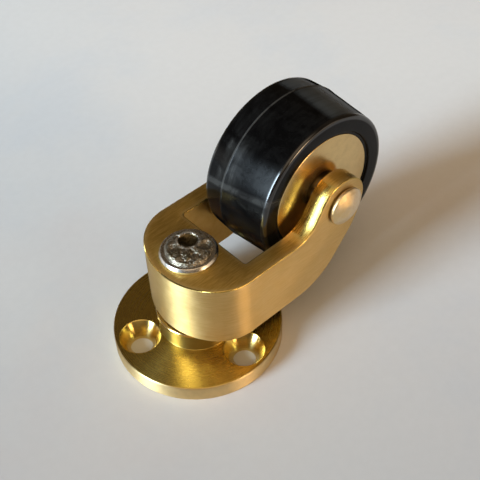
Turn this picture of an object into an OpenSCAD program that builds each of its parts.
// Solid brass plate castor with a rubber-tyred wheel.
// Frame: origin at the centre of the plate's mounting face, +Z along the
// swivel axis from that face towards the wheel, +X from the swivel axis
// towards the wheel's axle, Y along the axle with the near side at -Y.
// The horn's front faces -X. Millimetres throughout.

/* [Plate] */
// Diameter of the round mounting plate
plate_d = 38; // [36:0.5:46]
// Thickness of the plate's flange
plate_t = 4; // [3.5:0.1:4.5]
// Diameter of the boss that carries the lower race
boss_d = 17.4; // [16.6:0.1:18.2]
// Height of the boss's top face above the mounting face
boss_top = 8.15; // [8.15]
// Radius of the fillet where the boss meets the flange
boss_fillet = 0.15; // [0.1:0.05:0.3]
// Chamfer on the flange's upper edge
plate_edge = 0.35; // [0.1:0.05:0.8]

/* [Screw holes] */
// Number of countersunk screw holes
screw_count = 3; // [3, 4]
// Diameter of the circle through the screw holes' centres
screw_pcd = 27; // [26.8:0.1:28]
// Diameter of each through hole
screw_hole_d = 5; // [4:0.1:5.2]
// Diameter of each countersink at the flange's upper face
screw_csk_d = 9.2; // [8:0.1:9.2]
// Depth of each countersink's cone below the flange's upper face
screw_csk_depth = 3.2; // [2:0.1:3.3]
// Angle of the first hole about the swivel axis, from +X
screw_angle = 38; // [0:1:119]

/* [Horn] */
// Height of the horn's underside
horn_bottom = 9.45; // [9.45]
// Height of the horn's flat top
horn_top = 25.7; // [25.2:0.1:26.4]
// Half of the width across the horn's two parallel sides
horn_half_w = 14.35; // [14:0.05:15]
// Distance from the swivel axis to the horn's front
horn_front = 8.2; // [8.2:0.1:9]
// Radius of the shallow arc across the horn's front
front_r = 16.5; // [16:0.1:18]
// Radius of the arcs that run from the front into the sides
corner_r = 10.8; // [10.2:0.1:11]
// Distance from the swivel axis to the wheel slot's closed end
slot_back = 6; // [5.8:0.1:6.4]
// Half of the width of the wheel slot between the arms
slot_half_w = 10; // [10]
// Radius in the two corners of the slot's closed end
slot_corner_r = 0.6; // [0.3:0.1:1.5]
// Radius of the rounded end of each arm
arm_end_r = 6.3; // [6:0.1:6.8]
// Length by which the arm's rounded end is drawn back from the axle
arm_end_back = 0.3; // [0.1:0.1:0.8]
// Radius of the hollow where the flat top sweeps up into the arm
sweep_r = 7; // [5:0.5:9]
// Slope of the arm's upper flank above the sweep, in degrees
flank_deg = 59; // [55:1:63]
// Radius of the lower sweep where the flat underside turns up
belly_r = 14; // [12:0.5:15]
// Radius of the long lower curve under the arm's end
heel_r = 18; // [17:0.5:19]
// Angle on the arm's rounded end at which the long lower curve meets it
heel_meet_deg = -8; // [-12:1:-4]
// Slope of the straight between the two lower curves, in degrees
heel_deg = 50; // [48:1:52]

/* [Axle and wheel] */
// Distance from the swivel axis to the axle, along X
axle_x = 30.3; // [30:0.1:31]
// Height of the axle above the mounting face
axle_z = 29.4; // [29:0.1:30]
// Diameter of the axle pin's shank
axle_d = 6; // [5:0.1:6.4]
// Diameter of the axle pin's domed head
axle_head_d = 8.8; // [8:0.1:10]
// Largest diameter of the tyre, at the mould line
tyre_d = 38; // [37.6:0.1:38.2]
// Half of the tyre's width
tyre_half_w = 8.75; // [8.6:0.05:8.8]
// Diameter of the tyre at its near edge
tyre_near_d = 35.9; // [35.5:0.1:36.5]
// Diameter of the tyre at its far edge
tyre_far_d = 37.3; // [36.5:0.1:37.4]
// Offset of the mould line from the wheel's middle, towards the far side
mould_y = 3.4; // [0:0.1:4]
// Diameter of the wheel centre's flat face inside the tyre
disc_d = 26.9; // [26:0.1:27.2]
// Diameter of the wheel centre's rim under the tyre
rim_d = 30; // [29.5:0.1:31]

/* [Swivel] */
// Diameter of the swivel pin's shank
swivel_d = 6; // [5:0.1:6]
// Diameter of the swivel pin's peened head
swivel_head_d = 10.2; // [9:0.1:11]
// Diameter of the washer under the peened head
swivel_washer_d = 12.5; // [11.5:0.1:13]
// Thickness of the washer under the peened head
swivel_washer_t = 1.25; // [0.8:0.05:1.6]
// Distance by which the head and its washer sit off the swivel axis
swivel_head_off = 0.5; // [0:0.05:0.5]
// Diameter of the balls in the race
ball_d = 2.4; // [2.4]
// Number of balls in the full ring
ball_count = 14; // [14]
// Diameter of the circle through the balls' centres
ball_pcd = 11; // [11]

/* [Hidden] */
$fn = 96;

fit = 0.02;         // gap between pieces that are fixed together
run = 0.04;         // radial gap between pieces that turn
washer_gap = 0.05;  // gap between a washer and the part it faces
over = 1;           // length by which a cut passes a face
overlap = 0.1;      // length by which joined parts of a pin overlap
skin = 0.001;       // overlap of two cuts that meet end to end
blank = 60;         // ample length of the horn's untrimmed blanks

race_gap = 0.25;                      // gap between the two races
race_z = boss_top + race_gap / 2;     // height of the balls' centres
race_outer_r = 7.4;
race_inner_r = 3.7;
lower_race_h = 1.93;
upper_race_z = boss_top + race_gap;   // underside of the upper race
upper_race_top = 10.4;

pin_seat_z = 0.3;   // depth of the recess over the swivel pin's flush head
pin_cone_z = 2.9;   // height at which the flush head's cone ends
washer_z = horn_top + washer_gap;     // underside of the swivel pin's washer
head_off = [-swivel_head_off * cos(45), swivel_head_off * sin(45), 0];

hub_half = 8.95;                      // half of the room for the hub
face_y = tyre_half_w - 0.45;          // wheel centre's flat face
bush_seat_r = 4;                      // hole in the wheel centre

// ---- shape helpers -------------------------------------------------------

function point_on(centre, radius, angle) =
    [centre[0] + radius * cos(angle), centre[1] + radius * sin(angle)];

// Plate-like solid along Y whose outline in X and Z is the 2D child
module slab() {
    translate([0, blank / 2, 0]) rotate([90, 0, 0]) linear_extrude(blank) children();
}

// Slab with the part of a disc that lies beyond the chord between two
// angles, joined to an inner point so that it overlaps its neighbour
module cap(centre, radius, from, to, inner) {
    beyond = 1.6 * radius;
    intersection() {
        slab() translate(centre) circle(radius);
        slab() polygon([
            inner, point_on(centre, radius, from), point_on(centre, beyond, from),
            point_on(centre, beyond, to), point_on(centre, radius, to)
        ]);
    }
}

// Places a child on the axle at y, its Z turned to +Y (side 1) or -Y (side -1)
module at_axle(y, side = 1) {
    translate([axle_x, y, axle_z]) rotate([-90 * side, 0, 0]) children();
}

// Cylinder on the axle from y0 to y1
module along_axle(radius, y0, y1) {
    at_axle(y0) cylinder(r = radius, h = y1 - y0);
}

// Shape turned about the axle; the 2D profile is [radius, y]
module turned_on_axle() {
    at_axle(0) rotate_extrude() children();
}

// Cut for the axle pin through a piece that is fixed to it
module axle_bore() {
    along_axle(axle_d / 2 + fit, -20, 20);
}

// Spherical dome standing on z = 0
module dome(base_r, height) {
    sphere_r = (base_r * base_r + height * height) / (2 * height);
    rotate_extrude() intersection() {
        translate([0, height - sphere_r]) circle(sphere_r);
        square([base_r, height]);
    }
}

// ---- plate and swivel ----------------------------------------------------

module screw_hole() {
    translate([0, 0, -over]) cylinder(d = screw_hole_d, h = plate_t + 2 * over);
    translate([0, 0, plate_t - screw_csk_depth])
        cylinder(d1 = screw_hole_d, d2 = screw_csk_d, h = screw_csk_depth);
    translate([0, 0, plate_t - skin]) cylinder(d = screw_csk_d, h = over);
}

// Half section of the plate, [radius, z]
module plate_profile() {
    plate_r = plate_d / 2;
    boss_r = boss_d / 2;
    edge = 0.2;    // chamfer at the mounting face and on the boss
    root = 0.5;    // overlap of the boss and fillet with the flange
    difference() {
        union() {
            polygon([
                [0, 0], [plate_r - edge, 0], [plate_r, edge],
                [plate_r, plate_t - plate_edge], [plate_r - plate_edge, plate_t],
                [0, plate_t]
            ]);
            polygon([
                [0, root], [boss_r, root], [boss_r, boss_top - edge],
                [boss_r - edge, boss_top], [0, boss_top]
            ]);
            difference() {
                translate([boss_r - root, plate_t - root])
                    square([boss_fillet + root, boss_fillet + root]);
                translate([boss_r + boss_fillet, plate_t + boss_fillet]) circle(boss_fillet);
            }
        }
        // seat of the lower race
        translate([0, boss_top - lower_race_h - fit]) square([race_outer_r + fit, 3]);
    }
}

module mounting_plate() {
    seat_r = 5.65;
    bore_r = swivel_d / 2 + fit;
    color("darkgoldenrod") difference() {
        rotate_extrude() plate_profile();
        // hole of the swivel pin, with the recess for its flush head
        translate([0, 0, -over]) cylinder(r = bore_r, h = 12);
        translate([0, 0, -over]) cylinder(r = seat_r, h = over + pin_seat_z);
        translate([0, 0, pin_seat_z - skin])
            cylinder(r1 = seat_r, r2 = bore_r, h = pin_cone_z - pin_seat_z);
        for (i = [0:screw_count - 1])
            rotate([0, 0, screw_angle + i * 360 / screw_count])
                translate([screw_pcd / 2, 0, 0]) screw_hole();
    }
}

module race_groove() {
    translate([ball_pcd / 2, race_z]) circle(ball_d / 2 + fit);
}

module lower_race() {
    color("silver") rotate_extrude() difference() {
        translate([race_inner_r, boss_top - lower_race_h])
            square([race_outer_r - race_inner_r, lower_race_h]);
        race_groove();
    }
}

// Ring seated in the horn, with a wider flange below the horn
module upper_race() {
    flange_r = 9;
    flange_top = horn_bottom - 0.25;
    lower_edge = 0.2;
    upper_edge = 0.15;
    color("darkgoldenrod") rotate_extrude() difference() {
        union() {
            translate([race_inner_r, upper_race_z])
                square([race_outer_r - race_inner_r, upper_race_top - upper_race_z]);
            polygon([
                [race_inner_r, upper_race_z], [flange_r - lower_edge, upper_race_z],
                [flange_r, upper_race_z + lower_edge], [flange_r, flange_top - upper_edge],
                [flange_r - upper_edge, flange_top], [race_inner_r, flange_top]
            ]);
        }
        race_groove();
    }
}

module race_balls() {
    color("silver") for (i = [0:ball_count - 1])
        rotate([0, 0, (i + 0.5) * 360 / ball_count])
            translate([ball_pcd / 2, 0, race_z]) sphere(d = ball_d);
}

// Steel pin riveted through the plate and the horn. The head on the
// mounting face is countersunk; the other end is peened over the washer.
module swivel_pin() {
    cone_z = pin_seat_z + fit;
    cone_r = 5.6;
    shank_z = pin_cone_z - overlap;
    head_z = washer_z + swivel_washer_t + fit;
    head_r = swivel_head_d / 2;
    rim_h = 0.35;
    dome_h = 0.9;
    punch_centre = [1.1, 1.25, 3.55];   // from the head's underside
    punch_r = 3.07;
    color("silver") difference() {
        union() {
            translate([0, 0, cone_z])
                cylinder(r1 = cone_r, r2 = swivel_d / 2, h = pin_cone_z - cone_z);
            translate([0, 0, shank_z]) cylinder(d = swivel_d, h = head_z + overlap - shank_z);
            translate(head_off + [0, 0, head_z]) cylinder(r = head_r, h = rim_h);
            translate(head_off + [0, 0, head_z + rim_h]) dome(head_r, dome_h);
        }
        // dimple of the riveting punch, off the head's centre
        translate(head_off + [0, 0, head_z] + punch_centre) sphere(r = punch_r);
    }
}

module swivel_pin_washer() {
    outer_r = swivel_washer_d / 2;
    bore_r = swivel_d / 2 + 0.55;
    top = swivel_washer_t;
    edge = 0.1;
    shoulder = 0.35;   // reach of the two-step chamfer on the upper edge
    color("lightgray") translate(head_off + [0, 0, washer_z]) rotate_extrude()
        polygon([
            [bore_r, 0], [outer_r - edge, 0], [outer_r, edge], [outer_r, top - shoulder],
            [outer_r - edge, top - edge], [outer_r - shoulder, top], [bore_r, top]
        ]);
}

// ---- horn ----------------------------------------------------------------

// Block whose outline along the swivel axis has parallel sides and a front
// of three arcs
module horn_plan() {
    corner_y = horn_half_w - corner_r;
    front_x = front_r - horn_front;     // centre of the shallow front arc
    centre_gap = front_r - corner_r;    // between front and corner centres
    corner_x = front_x - sqrt(centre_gap * centre_gap - corner_y * corner_y);
    reach = 6;                          // carries the front's wedge past the arc
    wedge_x = front_x + reach * (corner_x - front_x);
    wedge_y = reach * corner_y;
    translate([corner_x, -horn_half_w, 0])
        cube([axle_x + arm_end_r + 5 - corner_x, 2 * horn_half_w, blank]);
    for (side = [-1, 1])
        translate([corner_x, side * corner_y, 0]) cylinder(r = corner_r, h = blank);
    intersection() {
        translate([front_x, 0, 0]) cylinder(r = front_r, h = blank);
        linear_extrude(blank)
            polygon([[front_x, 0], [wedge_x, wedge_y], [wedge_x, -wedge_y]]);
    }
}

// Solid whose outline along the axle is a flat body with an arm that sweeps
// up to the axle
module horn_side() {
    body_x = -12;    // beyond the horn's front
    end_centre = [axle_x, axle_z];
    back_centre = [axle_x - arm_end_back, axle_z];

    // underside: lower sweep, straight, long lower curve
    heel_centre = point_on(end_centre, arm_end_r - heel_r, heel_meet_deg);
    heel_end = point_on(end_centre, arm_end_r, heel_meet_deg);
    heel_start = point_on(heel_centre, heel_r, heel_deg - 90);
    belly_end_z = horn_bottom + belly_r * (1 - cos(heel_deg));
    belly_x = heel_start[0] - (heel_start[1] - belly_end_z) / tan(heel_deg)
        - belly_r * sin(heel_deg);
    belly_centre = [belly_x, horn_bottom + belly_r];
    belly_end = point_on(belly_centre, belly_r, heel_deg - 90);

    // upper side: flank and the hollow sweep at its foot
    flank_top = point_on(back_centre, arm_end_r, flank_deg + 90);
    flank_x = flank_top[0] - (flank_top[1] - horn_top) / tan(flank_deg);
    sweep_centre = [flank_x - sweep_r * tan(flank_deg / 2), horn_top + sweep_r];
    sweep_end = point_on(sweep_centre, sweep_r, flank_deg - 90);

    slab() polygon([
        [body_x, horn_bottom], [belly_x, horn_bottom], belly_end, heel_start, heel_end,
        end_centre, back_centre, flank_top, [flank_x, horn_top], [body_x, horn_top]
    ]);
    slab() translate(end_centre) circle(arm_end_r);
    slab() translate(back_centre) circle(arm_end_r);
    slab() translate(back_centre) square([arm_end_back, arm_end_r]);
    cap(belly_centre, belly_r, -90, heel_deg - 90, [belly_x, horn_bottom + 6]);
    cap(heel_centre, heel_r, heel_deg - 90, heel_meet_deg, end_centre - [5, 5]);
    // fill of the hollow sweep
    difference() {
        slab() polygon([
            [sweep_centre[0], horn_top - 1], [flank_x + 1, horn_top - 1],
            sweep_end + [2, 1], sweep_end, sweep_centre
        ]);
        slab() translate(sweep_centre) circle(sweep_r);
    }
}

module slot_plan() {
    corner_x = slot_back + slot_corner_r;
    corner_y = slot_half_w - slot_corner_r;
    translate([slot_back, -corner_y]) square([blank, 2 * corner_y]);
    translate([corner_x, -slot_half_w]) square([blank, 2 * slot_half_w]);
    for (side = [-1, 1])
        translate([corner_x, side * corner_y]) circle(slot_corner_r, $fn = 32);
}

module horn() {
    color("goldenrod") difference() {
        intersection() {
            horn_plan();
            horn_side();
        }
        translate([0, 0, -over]) linear_extrude(blank + 10) slot_plan();
        // bore that turns on the swivel pin, and the seat of the upper race
        cylinder(r = swivel_d / 2 + run, h = 40);
        translate([0, 0, horn_bottom - over])
            cylinder(r = race_outer_r + fit, h = upper_race_top + fit - horn_bottom + over);
        axle_bore();
    }
}

// ---- axle and wheel ------------------------------------------------------

// Pin with a domed head on the near side, riveted over the far arm
module axle_pin() {
    shank_r = axle_d / 2;
    head_r = axle_head_d / 2;
    head_t = 0.9;
    head_y = -horn_half_w - 0.45;     // face of the head towards the arm
    rivet_y = horn_half_w + 0.03;
    rivet_r = shank_r + 0.9;
    color("goldenrod") {
        along_axle(shank_r, head_y - overlap, rivet_y + overlap);
        along_axle(head_r, head_y - head_t, head_y);
        at_axle(head_y - head_t, -1) dome(head_r, 1.05);
        at_axle(rivet_y) dome(rivet_r, 1);
    }
}

// Washer between the hub and an arm, on the near (-1) or far (1) side
module axle_washer(side) {
    inner_y = hub_half + washer_gap;
    outer_y = slot_half_w - washer_gap;
    color("lightgray") difference() {
        along_axle(4.5, side > 0 ? inner_y : -outer_y, side > 0 ? outer_y : -inner_y);
        axle_bore();
    }
}

module near_axle_washer() { axle_washer(-1); }

module far_axle_washer() { axle_washer(1); }

// Outline where the tyre grips the wheel centre, [radius, y]: the rim's
// shoulders with a groove between them. It runs from the near side (start
// -1) or the far side (start 1) to the other, standing off by gap.
function rim_outline(start, gap) =
    let (
        disc_r = disc_d / 2 + gap,
        rim_r = rim_d / 2 + gap,
        floor_r = rim_r - 0.9,
        shoulder_y = start * (face_y - 1.1 + gap),
        mouth_y = start * (2.2 + gap / 2),
        floor_y = start * (1.6 + gap / 2)
    )
    [
        [disc_r, shoulder_y], [rim_r, shoulder_y], [rim_r, mouth_y], [floor_r, floor_y],
        [floor_r, -floor_y], [rim_r, -mouth_y], [rim_r, -shoulder_y], [disc_r, -shoulder_y]
    ];

module wheel_centre() {
    disc_r = disc_d / 2;
    edge = 0.25;
    color("goldenrod") turned_on_axle() polygon(concat(
        [[bush_seat_r, -face_y], [disc_r - edge, -face_y], [disc_r, -face_y + edge]],
        rim_outline(-1, 0),
        [[disc_r, face_y - edge], [disc_r - edge, face_y], [bush_seat_r, face_y]]
    ));
}

// Steel bush pressed into the wheel centre
module wheel_bush() {
    inner_r = axle_d / 2 + run;
    outer_r = bush_seat_r - fit;
    end_y = hub_half - fit;
    color("silver") turned_on_axle()
        polygon([[inner_r, -end_y], [outer_r, -end_y], [outer_r, end_y], [inner_r, end_y]]);
}

// Half section of the tyre, [radius, y]: drafted both ways from the mould line
module tyre_section() {
    side_y = tyre_half_w;
    disc_r = disc_d / 2 + fit;
    lip_r = disc_r + 0.75;       // stepped inner edge of each side face
    step_r = disc_r + 0.55;
    step_y = side_y - 0.55;
    foot_y = side_y - 0.6;
    edge_r = 0.85;               // rounding of the tread's two edges
    edge_y = side_y - edge_r;
    near_r = tyre_near_d / 2;
    far_r = tyre_far_d / 2;
    mould_r = tyre_d / 2;
    ridge_root_r = mould_r - 0.12;
    ridge_root = 0.18;           // half widths of the mould line's ridge
    ridge_crest = 0.06;
    polygon(concat(
        [
            [lip_r, -side_y], [near_r - edge_r, -side_y],
            [near_r - edge_r, -edge_y], [near_r, -edge_y],
            [ridge_root_r, mould_y - ridge_root], [mould_r, mould_y - ridge_crest],
            [mould_r, mould_y + ridge_crest], [ridge_root_r, mould_y + ridge_root],
            [far_r, edge_y], [far_r - edge_r, edge_y],
            [far_r - edge_r, side_y], [lip_r, side_y],
            [step_r, step_y], [disc_r, foot_y]
        ],
        rim_outline(1, fit),
        [[disc_r, -foot_y], [step_r, -step_y]]
    ));
    translate([near_r - edge_r, -edge_y]) circle(edge_r, $fn = 48);
    translate([far_r - edge_r, edge_y]) circle(edge_r, $fn = 48);
}

module tyre() {
    color("dimgray") turned_on_axle() tyre_section();
}

mounting_plate();
lower_race();
race_balls();
upper_race();
swivel_pin();
swivel_pin_washer();
horn();
axle_pin();
near_axle_washer();
far_axle_washer();
wheel_centre();
wheel_bush();
tyre();
